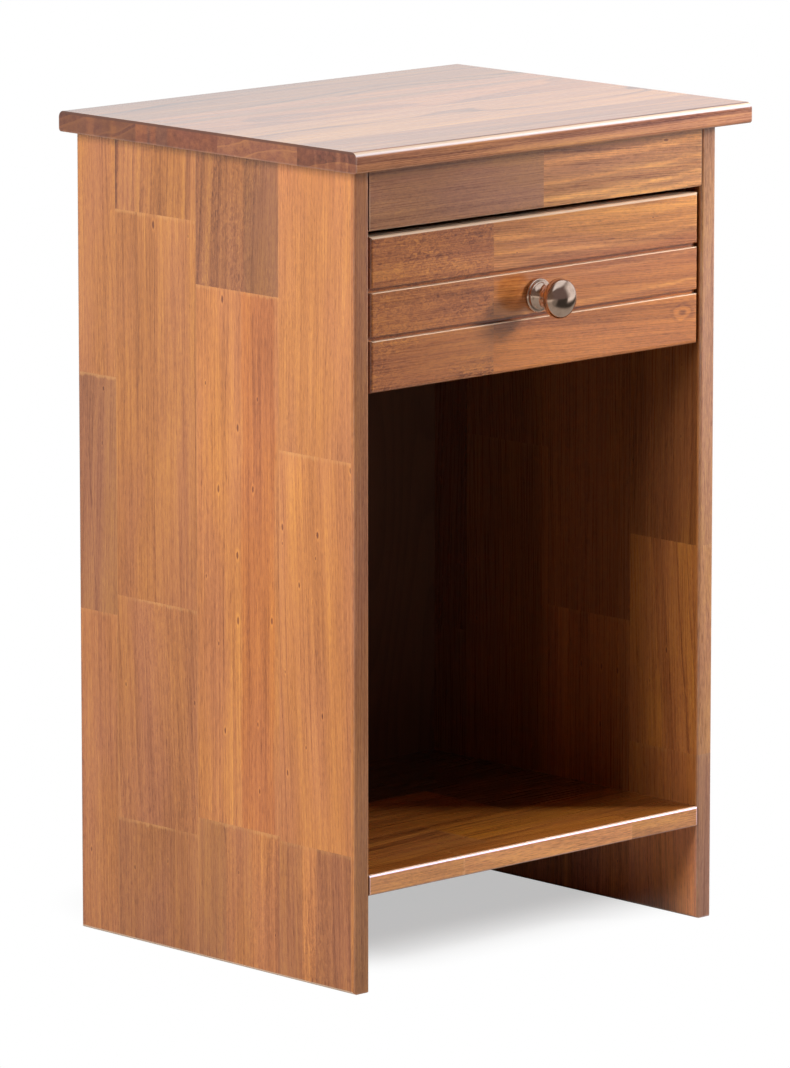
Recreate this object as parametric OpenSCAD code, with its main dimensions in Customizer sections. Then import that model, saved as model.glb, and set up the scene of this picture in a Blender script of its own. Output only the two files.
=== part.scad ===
// Nightstand with one drawer over an open compartment.
// Solid jointed boards, a grooved-in back panel, and a drawer on ball-bearing slides.
// +X is to the viewer's right, -Y is the front, +Z is up. The floor is at z = 0.
// The origin is the middle of the box that holds the whole stand, at floor level.

/* [Case] */
// Overall height, floor to table top
total_h = 600; // [520:5:720]
// Width across the outer faces of the side panels
case_w = 358; // [300:1:520]
// Depth of the side panels
case_d = 290; // [284:1:380]
// Thickness of the side panels
side_t = 15; // [14:0.5:22]
// Thickness of the table top
top_t = 15; // [14:0.5:25]
// How far the top stands past each side panel
top_side_overhang = 16; // [0:1:40]
// How far the top stands past the front of the case
top_front_overhang = 20; // [5:1:40]
// Thickness of the shelf
shelf_t = 15; // [14:0.5:22]
// Clear height under the shelf
shelf_clearance = 69; // [40:1:140]
// Height of the front and rear rails
rail_h = 45; // [42:1:70]
// Thickness of the front and rear rails
rail_t = 15; // [14:0.5:22]
// Thickness of the back panel
back_t = 4; // [3:0.5:6]
// How far the back panel lies in from the rear edges
back_setback = 9; // [6:0.5:14]
// Depth of the grooves that hold thin panels
groove_depth = 5; // [3:0.5:6]

/* [Rounded edges] */
// Radius along the upper long edges of the top
top_nose_r = 5; // [2:0.5:7]
// Radius along the lower long edges of the top
top_under_r = 2.5; // [1:0.5:5]
// Radius of the upright edges of the side panels
side_edge_r = 2.5; // [1:0.5:5]
// Radius of the long edges of shelf and rails
board_edge_r = 2; // [0.5:0.5:4]
// Radius around the drawer front
front_edge_r = 2.5; // [1:0.5:4]

/* [Drawer] */
// Height of the drawer front
front_h = 110; // [105:1:160]
// Thickness of the drawer front
front_t = 15; // [14:0.5:22]
// Gap between drawer front and side panel, each side
front_side_gap = 2; // [1:0.25:4]
// Gap between drawer front and front rail
front_top_gap = 4; // [2:0.5:8]
// How far the drawer front lies behind the case front
front_recess = 1; // [0:0.5:6]
// Distance between the two decorative grooves
front_groove_pitch = 34; // [20:1:44]
// Width of a decorative groove
front_groove_w = 3; // [2:0.25:5]
// Depth of a decorative groove
front_groove_depth = 4; // [2:0.25:4.5]
// Height of the drawer sides
box_h = 80; // [70:1:98]
// Height of the drawer sides above the lower edge of the front
box_lift = 12; // [4:1:20]
// Thickness of drawer sides and drawer back
box_t = 12; // [12:0.5:15]
// Thickness of the drawer bottom
bottom_t = 4; // [3:0.5:6]
// Height of the bottom groove above the lower edge of the drawer side
bottom_up = 8; // [6:0.5:12]

/* [Knob] */
// Diameter of the knob's head
knob_head_d = 29; // [24:0.5:36]
// Thickness of the knob's head
knob_head_t = 17; // [13:0.5:20]
// How far the knob stands out from the drawer front
knob_reach = 31; // [28:0.5:40]
// Diameter of the knob's foot
knob_foot_d = 24.5; // [20:0.5:32]
// Thickness of the knob's foot
knob_foot_t = 3; // [2:0.25:5]
// Diameter of the knob's neck
knob_neck_d = 11; // [9:0.5:14]
// How far the knob sits below the middle of the drawer front
knob_drop = 2.5; // [0:0.5:6]

/* [Drawer slides] */
// Length of the case member of a slide
slide_l = 250; // [230:1:256]
// Height of the case member
slide_h = 35; // [34:0.5:40]
// Installed thickness of a slide, side panel to drawer side
slide_t = 12.7; // [12.5:0.1:14]
// Sheet thickness of the slide members
slide_sheet = 1.2; // [1:0.1:1.4]
// Diameter of the bearing balls
ball_d = 4.5; // [4:0.1:4.8]
// Balls in one row
balls_per_row = 5; // [3:1:5]
// How far the drawer opens
travel = 170; // [120:1:170]

/* [Hardware] */
// Diameter of the case dowels
dowel_d = 8; // [6:0.5:8]
// Length of the case dowels
dowel_l = 30; // [25:1:40]
// Diameter of the case cam locks
cam_d = 15; // [12:0.5:15]
// Height of the case cam locks
cam_h = 12; // [11:0.5:13]
// Diameter of the drawer dowels
drawer_dowel_d = 6; // [5:0.5:6]
// Length of the drawer dowels
drawer_dowel_l = 25; // [20:1:30]
// Diameter of the drawer cam locks
drawer_cam_d = 12; // [10:0.5:12]
// Height of the drawer cam locks
drawer_cam_h = 9.5; // [9:0.5:10]
// Distance from a board's end to the middle of its cam lock
cam_back = 24; // [20:1:34]

/* [Hidden] */
$fn = 64;
eps = 0.01;

// Clearances
fit_play = 0.1;        // around dowels, cams, screws and panels in their grooves
bolt_play = 0.5;       // around a connecting bolt in the end of a board
bore_extra = 0.5;      // a blind bore is this much deeper than what it holds
race_play = 0.3;       // between a ball and each race
pocket_play = 0.1;     // between a ball and its pocket in the cage

// Case, from the driving sizes
side_h = total_h - top_t;
inner_w = case_w - 2 * side_t;
inner_x = inner_w / 2;
top_w = case_w + 2 * top_side_overhang;
shelf_z = shelf_clearance;
shelf_top_z = shelf_z + shelf_t;
rail_z = side_h - rail_h;

// Front to back: depth 0 is the case front, and the origin is the middle of the whole
stand_out = max(top_front_overhang, knob_reach - front_recess);
front_y = (stand_out - case_d) / 2;
function at_depth(d) = front_y + d;
back_depth = case_d - back_setback - back_t;

// Drawer
front_w = inner_w - 2 * front_side_gap;
front_z = rail_z - front_top_gap - front_h;
front_mid_z = front_z + front_h / 2;
box_depth = front_recess + front_t;
slide_start = 2;                          // the slides stop short of the drawer front
box_l = slide_l + slide_start;
box_end = box_depth + box_l;
box_x = inner_x - slide_t;
box_z = front_z + box_lift;
bottom_z = box_z + bottom_up;
knob_z = front_mid_z - knob_drop;

// Places of dowels and cam locks, as depths behind the case front
dowel_in = [30, 45];                      // in from the front and from the rear
cam_in = [60, 70];
dowel_depths = [dowel_in[0], case_d - dowel_in[1]];
cam_depths = [cam_in[0], case_d - cam_in[1]];
case_bolt_d = 7;
drawer_bolt_d = 6;
dowel_in_face = 10;                       // part of a dowel that sits in a board's face
bolt_in_face = 10;
rail_dowel_down = 11;
rail_cam_down = 30;
drawer_dowel_in_face = 9;
drawer_bolt_in_face = 9;
drawer_dowel_spread = 44;

// Screws: [shank radius, shank length, head radius, head height]
back_screw = [1.5, 15, 3, 1.5];
slide_case_screw = [1.7, 12, 3.4, 1.2];
slide_drawer_screw = [1.7, 10, 3.4, 1.2];
box_screw = [1.75, 32, 3.5, 2.2];
bottom_screw = [1.5, 16, 3, 1.5];
knob_screw_size = [2, front_t + 12, 4, 2.6];
back_screw_in = 50;                       // outer screws, in from the side panels
bottom_screw_in = 60;                     // outer screws, in from the drawer sides
box_screw_heights = [0.3, 0.85];          // shares of the drawer side's height

// Knob
knob_rim_share = 0.7;                     // radius of the head's rim over half its thickness
knob_land = 2;                            // straight part between the neck's curve and foot or head

// Slide cross-section
race_r = ball_d / 2 + race_play;
ball_u = 7;                               // ball row, out from the side panel
ball_v = slide_h / 2 - slide_sheet - race_r;
lip_start = 25;                           // the races leave this much open for the cage
slide_z = box_z + box_h / 2;
bumper_l = 6;
cage_sheet = 0.5;
cage_gap = 0.3;                           // screw head to cage
cage_u = slide_sheet + slide_case_screw[3] + cage_gap;
cage_reach = ball_u + ball_d / 2 + 0.7;
ball_pitch = ball_d * 3;
cage_margin = ball_d * 1.3;
cage_l = (balls_per_row - 1) * ball_pitch + 2 * cage_margin;
inner_start = bumper_l + race_play;
// The cage travels half as far as the drawer and stays between both members
cage_start = (inner_start + slide_l - cage_l) / 2;
// Screws along both members, from their rear end
slide_holes = [0.12, 0.5, 0.86] * slide_l;
drawer_slide_holes = [0.18, 0.56, 0.82] * slide_l;
slide_bend_r = 2;                         // outer radius of the bends in the sheet

WOOD = "#b5713f";
WOOD_DARK = "#9a5c33";
PLY = "#c99a66";
BEECH = "#d8b888";
STEEL = "#b9bcc0";
ZINC = "#8f9398";
RUBBER = "#26272a";

// ---------------------------------------------------------------- shapes

// Rectangle from the origin with its own radius at each corner:
// [low x low y, high x low y, high x high y, low x high y]
module rounded_rect(w, h, r) {
    corners = [[0, 0, 1, 1], [w, 0, -1, 1], [w, h, -1, -1], [0, h, 1, -1]];
    difference() {
        square([w, h]);
        for (i = [0:3])
            if (r[i] > 0) {
                c = corners[i];
                translate([c[0], c[1]]) scale_signs(c[2], c[3])
                    difference() {
                        translate([-eps, -eps]) square(r[i] + eps);
                        translate([r[i], r[i]]) circle(r[i]);
                    }
            }
    }
}

// Turns a shape that lies along +X and +Y towards the given signs
module scale_signs(sx, sy) {
    mirror([sx < 0 ? 1 : 0, 0]) mirror([0, sy < 0 ? 1 : 0]) children();
}

// Carries an outline drawn in Y and Z along X, centred on x = 0
module along_x(l) {
    translate([-l / 2, 0, 0]) rotate([90, 0, 90]) linear_extrude(l) children();
}

// The same shape on both sides of the middle
module both_sides() {
    children();
    mirror([1, 0, 0]) children();
}

// On the left side, or mirrored to the right
module on_side(right) {
    mirror([right ? 1 : 0, 0, 0]) children();
}

// Pan-head screw along +Z, its head's underside at the origin
module pan_screw(s) {
    translate([0, 0, -s[3]]) cylinder(r1 = s[2] * 0.8, r2 = s[2], h = s[3]);
    translate([0, 0, -eps]) cylinder(r = s[0], h = s[1] + eps);
}

// Countersunk screw along +Z, its head's top at the origin
module flat_screw(s) {
    cylinder(r1 = s[2], r2 = s[0], h = s[3]);
    cylinder(r = s[0], h = s[1]);
}

// Bore for the shank of a screw along +Z
module screw_bore(s) {
    translate([0, 0, -eps]) cylinder(r = s[0] + fit_play, h = s[1] + bore_extra);
}

// ---------------------------------------------------------------- dowels and cam locks
// Each is drawn at a joint: the origin is on the joint's plane, +Z points into the
// face of one board, -Z runs down the end of the other, and +X is the cam's open side.

module dowel(d, l, in_face) {
    chamfer = d / 8;
    translate([0, 0, in_face - l]) rotate_extrude()
        polygon([[0, 0], [d / 2 - chamfer, 0], [d / 2, chamfer],
            [d / 2, l - chamfer], [d / 2 - chamfer, l], [0, l]]);
}

module dowel_bore(d, l, in_face) {
    translate([0, 0, in_face - l - bore_extra])
        cylinder(d = d + 2 * fit_play, h = l + 2 * bore_extra);
}

// Connecting bolt: thread in the face, shank along the end bore, head in the cam
module cam_bolt(in_face, shank_d) {
    thread_r = shank_d / 2 - 0.5;
    neck_r = shank_d / 2 - 1.5;
    head_t = 2.5;
    neck_l = 4;
    head_end = -cam_back - 1;
    rotate_extrude()
        polygon([[0, in_face], [thread_r, in_face], [thread_r, 0], [shank_d / 2, 0],
            [shank_d / 2, head_end + head_t + neck_l], [neck_r, head_end + head_t + neck_l],
            [neck_r, head_end + head_t], [shank_d / 2, head_end + head_t],
            [shank_d / 2, head_end + 0.8], [shank_d / 2 - 0.8, head_end], [0, head_end]]);
}

module cam_bolt_bore(in_face, shank_d) {
    translate([0, 0, -eps]) cylinder(d = shank_d - 1 + 2 * fit_play, h = in_face + bore_extra + eps);
    translate([0, 0, -cam_back]) cylinder(d = shank_d + 2 * bolt_play, h = cam_back);
}

// Cam lock: a disc with a chamber for the bolt's head and a cross slot on its open face
module cam_lock(d, h, board_t, shank_d) {
    chamber_r = shank_d / 2 + bolt_play;
    slot_w = 1.6;
    slot_depth = 2;
    translate([0, 0, -cam_back]) difference() {
        translate([board_t / 2 - h, 0, 0]) rotate([0, 90, 0]) cylinder(d = d, h = h);
        translate([0, 0, -chamber_r]) cylinder(r = chamber_r, h = d);
        for (a = [0, 90]) rotate([a, 0, 0])
            translate([board_t / 2 - slot_depth, -slot_w / 2, -d * 0.35])
                cube([slot_depth + eps, slot_w, d * 0.7]);
    }
}

module cam_bore(d, h, board_t) {
    translate([board_t / 2 - h - bore_extra / 2, 0, -cam_back]) rotate([0, 90, 0])
        cylinder(d = d + 2 * fit_play, h = h + bore_extra + eps);
}

// ---------------------------------------------------------------- joint places

// Shelf ends against the side panels: cams open downwards
module at_shelf_ends(depths) {
    both_sides() for (d = depths)
        translate([inner_x, at_depth(d), shelf_z + shelf_t / 2]) rotate([0, 90, 0]) children();
}

// Side panel tops under the table top: cams open to the inside
module at_top_ends(depths) {
    both_sides() for (d = depths)
        translate([inner_x + side_t / 2, at_depth(d), side_h]) rotate([0, 0, 180]) children();
}

// Rail ends against the side panels: cams open to the inside of the case
module at_rail_ends(down) {
    both_sides() {
        translate([inner_x, at_depth(rail_t / 2), side_h - down])
            rotate([90, 0, 90]) children();
        translate([inner_x, at_depth(back_depth - rail_t / 2), side_h - down])
            rotate([90, 0, 90]) rotate([0, 0, 180]) children();
    }
}

// Drawer sides against the back of the drawer front: cams open to the inside
module at_drawer_corners(up) {
    both_sides() for (z = up)
        translate([box_x - box_t / 2, at_depth(box_depth), box_z + box_h / 2 + z])
            rotate([90, 0, 0]) rotate([0, 0, 180]) children();
}

module shelf_bores() {
    at_shelf_ends(dowel_depths) dowel_bore(dowel_d, dowel_l, dowel_in_face);
    at_shelf_ends(cam_depths) {
        cam_bolt_bore(bolt_in_face, case_bolt_d);
        cam_bore(cam_d, cam_h, shelf_t);
    }
}

module top_bores() {
    at_top_ends(dowel_depths) dowel_bore(dowel_d, dowel_l, dowel_in_face);
    at_top_ends(cam_depths) {
        cam_bolt_bore(bolt_in_face, case_bolt_d);
        cam_bore(cam_d, cam_h, side_t);
    }
}

module rail_bores() {
    at_rail_ends(rail_dowel_down) dowel_bore(dowel_d, dowel_l, dowel_in_face);
    at_rail_ends(rail_cam_down) {
        cam_bolt_bore(bolt_in_face, case_bolt_d);
        cam_bore(cam_d, cam_h, rail_t);
    }
}

module drawer_corner_bores() {
    at_drawer_corners([-drawer_dowel_spread / 2, drawer_dowel_spread / 2])
        dowel_bore(drawer_dowel_d, drawer_dowel_l, drawer_dowel_in_face);
    at_drawer_corners([0]) {
        cam_bolt_bore(drawer_bolt_in_face, drawer_bolt_d);
        cam_bore(drawer_cam_d, drawer_cam_h, box_t);
    }
}

// ---------------------------------------------------------------- case boards

module top_panel() {
    top_d = case_d + top_front_overhang;
    color(WOOD) difference() {
        translate([0, at_depth(-top_front_overhang), side_h])
            along_x(top_w)
                rounded_rect(top_d, top_t, [top_under_r, top_under_r, top_nose_r, top_nose_r]);
        top_bores();
    }
}

// Space that the back panel takes in a side panel and in the shelf
module back_groove() {
    w = inner_w + 2 * groove_depth;
    translate([-w / 2, at_depth(back_depth) - fit_play, shelf_top_z - groove_depth])
        cube([w, back_t + 2 * fit_play, side_h]);
}

// One side panel, drawn on the left
module side_panel() {
    r = side_edge_r;
    x = -case_w / 2;
    color(WOOD) difference() {
        intersection() {
            translate([x, at_depth(0), 0])
                linear_extrude(side_h) rounded_rect(side_t, case_d, [r, r, r, r]);
            translate([x, at_depth(case_d), 0]) rotate([90, 0, 0])
                linear_extrude(case_d) rounded_rect(side_t, side_h, [r, r, 0, 0]);
        }
        back_groove();
        shelf_bores();
        top_bores();
        rail_bores();
        slide_case_bores();
    }
}

module side_panel_left() { side_panel(); }
module side_panel_right() { mirror([1, 0, 0]) side_panel(); }

module bottom_shelf() {
    r = board_edge_r;
    color(WOOD) difference() {
        translate([0, at_depth(0), shelf_z])
            along_x(inner_w) rounded_rect(case_d, shelf_t, [r, r, r, r]);
        back_groove();
        shelf_bores();
    }
}

// A rail between the side panels, its front face at the given depth
module rail(depth, r) {
    color(WOOD) difference() {
        translate([0, at_depth(depth), rail_z])
            along_x(inner_w) rounded_rect(rail_t, rail_h, r);
        rail_bores();
        at_back_screws() screw_bore(back_screw);
    }
}

module front_rail() {
    rail(0, [board_edge_r, board_edge_r, 0, 0]);
}

module rear_rail() {
    rail(back_depth - rail_t, [board_edge_r, 0, 0, 0]);
}

module back_panel() {
    w = inner_w + 2 * (groove_depth - fit_play);
    z = shelf_top_z - groove_depth + fit_play;
    color(PLY) difference() {
        translate([-w / 2, at_depth(back_depth), z]) cube([w, back_t, side_h - z]);
        at_back_screws() screw_bore(back_screw);
    }
}

// Behind the back panel, pointing forwards into the rear rail
module at_back_screws() {
    for (x = [-1, 0, 1] * (inner_x - back_screw_in))
        translate([x, at_depth(back_depth + back_t), rail_z + rail_h / 2])
            rotate([90, 0, 0]) children();
}

module back_panel_screws() {
    color(STEEL) at_back_screws() pan_screw(back_screw);
}

module case_dowels() {
    color(BEECH) {
        at_shelf_ends(dowel_depths) dowel(dowel_d, dowel_l, dowel_in_face);
        at_top_ends(dowel_depths) dowel(dowel_d, dowel_l, dowel_in_face);
        at_rail_ends(rail_dowel_down) dowel(dowel_d, dowel_l, dowel_in_face);
    }
}

module case_cam_bolts() {
    color(STEEL) {
        at_shelf_ends(cam_depths) cam_bolt(bolt_in_face, case_bolt_d);
        at_top_ends(cam_depths) cam_bolt(bolt_in_face, case_bolt_d);
        at_rail_ends(rail_cam_down) cam_bolt(bolt_in_face, case_bolt_d);
    }
}

module case_cam_locks() {
    color(ZINC) {
        at_shelf_ends(cam_depths) cam_lock(cam_d, cam_h, shelf_t, case_bolt_d);
        at_top_ends(cam_depths) cam_lock(cam_d, cam_h, side_t, case_bolt_d);
        at_rail_ends(rail_cam_down) cam_lock(cam_d, cam_h, rail_t, case_bolt_d);
    }
}

// ---------------------------------------------------------------- drawer

// Height and depth outline of the drawer front, with its decorative grooves
module front_outline() {
    ease = 0.8;
    r = front_edge_r;
    difference() {
        rounded_rect(front_t, front_h, [r, 0, 0, r]);
        for (s = [-1, 1])
            translate([0, front_h / 2 + s * front_groove_pitch / 2]) {
                translate([-eps, -front_groove_w / 2])
                    square([front_groove_depth + eps, front_groove_w]);
                for (m = [0, 1]) mirror([0, m])
                    translate([0, front_groove_w / 2]) difference() {
                        translate([-eps, -eps]) square(ease + eps);
                        translate([ease, ease]) circle(ease);
                    }
            }
    }
}

module drawer_front() {
    r = front_edge_r;
    color(WOOD) difference() {
        intersection() {
            translate([0, at_depth(front_recess), front_z])
                along_x(front_w) front_outline();
            translate([-front_w / 2, at_depth(front_recess), front_z])
                linear_extrude(front_h) rounded_rect(front_w, front_t, [r, r, 0, 0]);
        }
        bottom_groove();
        drawer_corner_bores();
        at_knob() translate([0, 0, -front_t - eps])
            cylinder(r = knob_screw_size[0] + fit_play, h = front_t + 2 * eps);
    }
}

// Space that the drawer bottom takes in the drawer's front and sides
module bottom_groove() {
    w = 2 * (box_x - box_t + groove_depth);
    translate([-w / 2, at_depth(box_depth - groove_depth), bottom_z - fit_play])
        cube([w, box_l + groove_depth + eps, bottom_t + 2 * fit_play]);
}

// One drawer side, drawn on the left
module drawer_side() {
    r = board_edge_r;
    color(PLY) difference() {
        translate([-box_x, at_depth(box_end), box_z]) rotate([90, 0, 0])
            linear_extrude(box_l) rounded_rect(box_t, box_h, [0, 0, r, r]);
        bottom_groove();
        drawer_corner_bores();
        at_box_screws() screw_bore(box_screw);
        at_box_screws() translate([0, 0, -eps])
            cylinder(r1 = box_screw[2] + fit_play, r2 = box_screw[0] + fit_play, h = box_screw[3]);
        slide_drawer_bores();
    }
}

module drawer_side_left() { drawer_side(); }
module drawer_side_right() { mirror([1, 0, 0]) drawer_side(); }

module drawer_back() {
    w = 2 * (box_x - box_t);
    z = bottom_z + bottom_t;
    h = box_z + box_h - z;
    r = board_edge_r;
    color(PLY) difference() {
        translate([0, at_depth(box_end - box_t), z])
            along_x(w) rounded_rect(box_t, h, [0, 0, r, r]);
        at_box_screws() screw_bore(box_screw);
        at_bottom_screws() screw_bore(bottom_screw);
    }
}

module drawer_bottom() {
    w = 2 * (box_x - box_t + groove_depth - fit_play);
    color(PLY) difference() {
        translate([-w / 2, at_depth(box_depth - groove_depth + fit_play), bottom_z])
            cube([w, box_l + groove_depth - fit_play, bottom_t]);
        at_bottom_screws() screw_bore(bottom_screw);
    }
}

// Outer faces of the drawer sides, pointing into the ends of the drawer back
module at_box_screws() {
    both_sides() for (z = box_screw_heights * box_h)
        translate([-box_x, at_depth(box_end - box_t / 2), box_z + z])
            rotate([0, 90, 0]) children();
}

// Under the drawer bottom, pointing up into the drawer back
module at_bottom_screws() {
    for (x = [-1, 0, 1] * (box_x - box_t - bottom_screw_in))
        translate([x, at_depth(box_end - box_t / 2), bottom_z]) children();
}

module drawer_dowels() {
    color(BEECH) at_drawer_corners([-drawer_dowel_spread / 2, drawer_dowel_spread / 2])
        dowel(drawer_dowel_d, drawer_dowel_l, drawer_dowel_in_face);
}

module drawer_cam_bolts() {
    color(STEEL) at_drawer_corners([0]) cam_bolt(drawer_bolt_in_face, drawer_bolt_d);
}

module drawer_cam_locks() {
    color(ZINC) at_drawer_corners([0])
        cam_lock(drawer_cam_d, drawer_cam_h, box_t, drawer_bolt_d);
}

module drawer_back_screws() {
    color(STEEL) at_box_screws() flat_screw(box_screw);
}

module drawer_bottom_screws() {
    color(STEEL) at_bottom_screws() pan_screw(bottom_screw);
}

// ---------------------------------------------------------------- knob

// Face of the drawer front, +Z pointing out of it
module at_knob() {
    translate([0, at_depth(front_recess), knob_z]) rotate([90, 0, 0]) children();
}

// Head: two shallow domes joined by a round rim, each arc tangent to the next
module knob_head_outline() {
    a = knob_head_d / 2;
    b = knob_head_t / 2;
    rim_r = b * knob_rim_share;
    dome_r = ((a - rim_r) * (a - rim_r) + b * b - rim_r * rim_r) / (2 * (b - rim_r));
    tangent_x = dome_r * (a - rim_r) / (dome_r - rim_r);
    translate([a - rim_r, 0]) circle(rim_r);
    intersection() {
        translate([0, b - dome_r]) circle(dome_r);
        translate([0, dome_r - b]) circle(dome_r);
        translate([0, -b]) square([tangent_x, 2 * b]);
    }
}

module knob() {
    head_z = knob_reach - knob_head_t / 2;
    cove_r = (head_z - knob_foot_t) / 2 - knob_land;
    cove_z = knob_foot_t + cove_r;
    foot_r = knob_foot_d / 2;
    color(STEEL) at_knob() difference() {
        rotate_extrude() intersection() {
            union() {
                translate([0, head_z]) knob_head_outline();
                square([foot_r - knob_foot_t / 2, knob_foot_t]);
                translate([foot_r - knob_foot_t / 2, knob_foot_t / 2]) circle(knob_foot_t / 2);
                difference() {
                    square([foot_r - knob_foot_t, head_z]);
                    translate([knob_neck_d / 2 + cove_r, cove_z]) circle(cove_r);
                    translate([knob_neck_d / 2 + cove_r, cove_z - eps])
                        square([foot_r, cove_r]);
                }
            }
            square([knob_head_d, knob_reach + 1]);
        }
        translate([0, 0, -eps])
            cylinder(r = knob_screw_size[0] + fit_play, h = knob_screw_size[1] - front_t + bore_extra);
    }
}

module knob_screw() {
    color(STEEL) at_knob() translate([0, 0, -front_t]) pan_screw(knob_screw_size);
}

// ---------------------------------------------------------------- drawer slides
// A slide is drawn on the left: local +X runs from the side panel to the drawer,
// local +Y is up, and local +Z runs forwards from the rear end.

module at_slide() {
    translate([-inner_x, at_depth(box_end), slide_z]) rotate([90, 0, 0]) children();
}

// Part of a ball race, wrapped round the ball row from one angle to another
module race(from, to) {
    reach = 3 * race_r;
    translate([ball_u, ball_v]) intersection() {
        difference() {
            circle(race_r + slide_sheet);
            circle(race_r);
        }
        polygon([[0, 0], reach * [cos(from), sin(from)],
            reach * 1.5 * [cos((from + to) / 2), sin((from + to) / 2)],
            reach * [cos(to), sin(to)]]);
    }
}

module mirrored_up_down() {
    children();
    mirror([0, 1]) children();
}

// Channel with its web at low x, from one height to its opposite
module channel(w, half_h) {
    difference() {
        inside_r = slide_bend_r - slide_sheet;
        translate([0, -half_h])
            rounded_rect(w, 2 * half_h, [slide_bend_r, 0, 0, slide_bend_r]);
        translate([slide_sheet, slide_sheet - half_h])
            rounded_rect(w, 2 * (half_h - slide_sheet), [inside_r, 0, 0, inside_r]);
    }
}

module case_member_outline() {
    channel(ball_u, slide_h / 2);
    mirrored_up_down() race(lip_start, 90);
}

module drawer_member_outline() {
    half_h = ball_v - race_r;
    translate([slide_t, 0]) mirror([1, 0]) channel(slide_t - ball_u, half_h);
    mirrored_up_down() race(180 + lip_start, 270);
}

// Screws from inside the case member into the side panel
module at_slide_case_screws() {
    at_slide() for (z = slide_holes)
        translate([slide_sheet, 0, z]) rotate([0, -90, 0]) children();
}

// Screws from inside the drawer member into the drawer side
module at_slide_drawer_screws() {
    at_slide() for (z = drawer_slide_holes)
        translate([slide_t - slide_sheet, 0, z]) rotate([0, 90, 0]) children();
}

module slide_case_bores() {
    at_slide_case_screws() screw_bore(slide_case_screw);
}

module slide_drawer_bores() {
    at_slide_drawer_screws() screw_bore(slide_drawer_screw);
}

module slide_case_member() {
    color(STEEL) difference() {
        at_slide() linear_extrude(slide_l) case_member_outline();
        slide_case_bores();
    }
}

module slide_drawer_member() {
    color(STEEL) difference() {
        at_slide() translate([0, 0, inner_start])
            linear_extrude(slide_l - inner_start) drawer_member_outline();
        slide_drawer_bores();
    }
}

// Places of the balls along both rows
module at_balls() {
    at_slide() for (row = [-1, 1], i = [0:balls_per_row - 1])
        translate([ball_u, row * ball_v, cage_start + cage_margin + i * ball_pitch])
            children();
}

// Thin channel that keeps the two rows of balls apart
module slide_cage() {
    color(ZINC) difference() {
        at_slide() translate([0, 0, cage_start]) linear_extrude(cage_l) {
            translate([cage_u, -ball_v - cage_sheet / 2])
                square([cage_sheet, 2 * ball_v + cage_sheet]);
            for (row = [-1, 1])
                translate([cage_u, row * ball_v - cage_sheet / 2])
                    square([cage_reach - cage_u, cage_sheet]);
        }
        at_balls() rotate([90, 0, 0])
            cylinder(d = ball_d + 2 * pocket_play, h = 2, center = true);
    }
}

module slide_balls() {
    color(STEEL) at_balls() sphere(d = ball_d);
}

module slide_case_member_left() { slide_case_member(); }
module slide_case_member_right() { on_side(true) slide_case_member(); }
module slide_drawer_member_left() { slide_drawer_member(); }
module slide_drawer_member_right() { on_side(true) slide_drawer_member(); }
module slide_cage_left() { slide_cage(); }
module slide_cage_right() { on_side(true) slide_cage(); }
module slide_balls_left() { slide_balls(); }
module slide_balls_right() { on_side(true) slide_balls(); }

// Rubber stop in the rear end of each case member
module slide_bumpers() {
    half_h = ball_v - 1;
    color(RUBBER) both_sides() at_slide()
        translate([slide_sheet, -half_h, 0])
            cube([slide_t - 2 * slide_sheet, 2 * half_h, bumper_l]);
}

module slide_case_screws() {
    color(STEEL) both_sides() at_slide_case_screws() pan_screw(slide_case_screw);
}

module slide_drawer_screws() {
    color(STEEL) both_sides() at_slide_drawer_screws() pan_screw(slide_drawer_screw);
}

// ---------------------------------------------------------------- nodes

top_panel();
side_panel_left();
side_panel_right();
bottom_shelf();
front_rail();
rear_rail();
back_panel();
back_panel_screws();
case_dowels();
case_cam_bolts();
case_cam_locks();
drawer_front();
drawer_side_left();
drawer_side_right();
drawer_back();
drawer_bottom();
drawer_dowels();
drawer_cam_bolts();
drawer_cam_locks();
drawer_back_screws();
drawer_bottom_screws();
knob();
knob_screw();
slide_case_member_left();
slide_case_member_right();
slide_drawer_member_left();
slide_drawer_member_right();
slide_cage_left();
slide_cage_right();
slide_balls_left();
slide_balls_right();
slide_bumpers();
slide_case_screws();
slide_drawer_screws();
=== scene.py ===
"""Looks of a nightstand: boards glued up from jointed staves, a turned metal knob and plain studio light.

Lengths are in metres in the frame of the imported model, unless a name ends in _mm. Positions inside the
effects are in millimetres unless their docstring says otherwise.
"""

from __future__ import annotations

import logging
import math
from dataclasses import dataclass
from enum import Enum
from functools import reduce
from typing import Callable, Sequence, Union
import bpy
import numpy as np
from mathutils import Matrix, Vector


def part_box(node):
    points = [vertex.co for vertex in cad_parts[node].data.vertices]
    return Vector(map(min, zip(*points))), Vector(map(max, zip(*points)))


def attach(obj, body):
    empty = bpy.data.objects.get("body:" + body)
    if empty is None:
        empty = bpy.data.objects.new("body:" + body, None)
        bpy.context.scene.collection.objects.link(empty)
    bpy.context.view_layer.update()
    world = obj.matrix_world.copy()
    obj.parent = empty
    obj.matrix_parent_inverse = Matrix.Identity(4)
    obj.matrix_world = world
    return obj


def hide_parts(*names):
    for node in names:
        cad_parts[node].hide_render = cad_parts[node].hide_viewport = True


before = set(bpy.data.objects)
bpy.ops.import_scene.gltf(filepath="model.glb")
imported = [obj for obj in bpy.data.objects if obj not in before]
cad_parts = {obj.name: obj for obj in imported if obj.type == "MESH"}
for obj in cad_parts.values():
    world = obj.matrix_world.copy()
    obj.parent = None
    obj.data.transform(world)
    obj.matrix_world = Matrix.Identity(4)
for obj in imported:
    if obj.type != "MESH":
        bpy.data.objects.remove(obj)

LOG = logging.getLogger("nightstand")
MM = 0.001
PER_MM = (1000.0, 1000.0, 1000.0)
WHITE = (1.0, 1.0, 1.0)
BLACK = (0.0, 0.0, 0.0)
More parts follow.
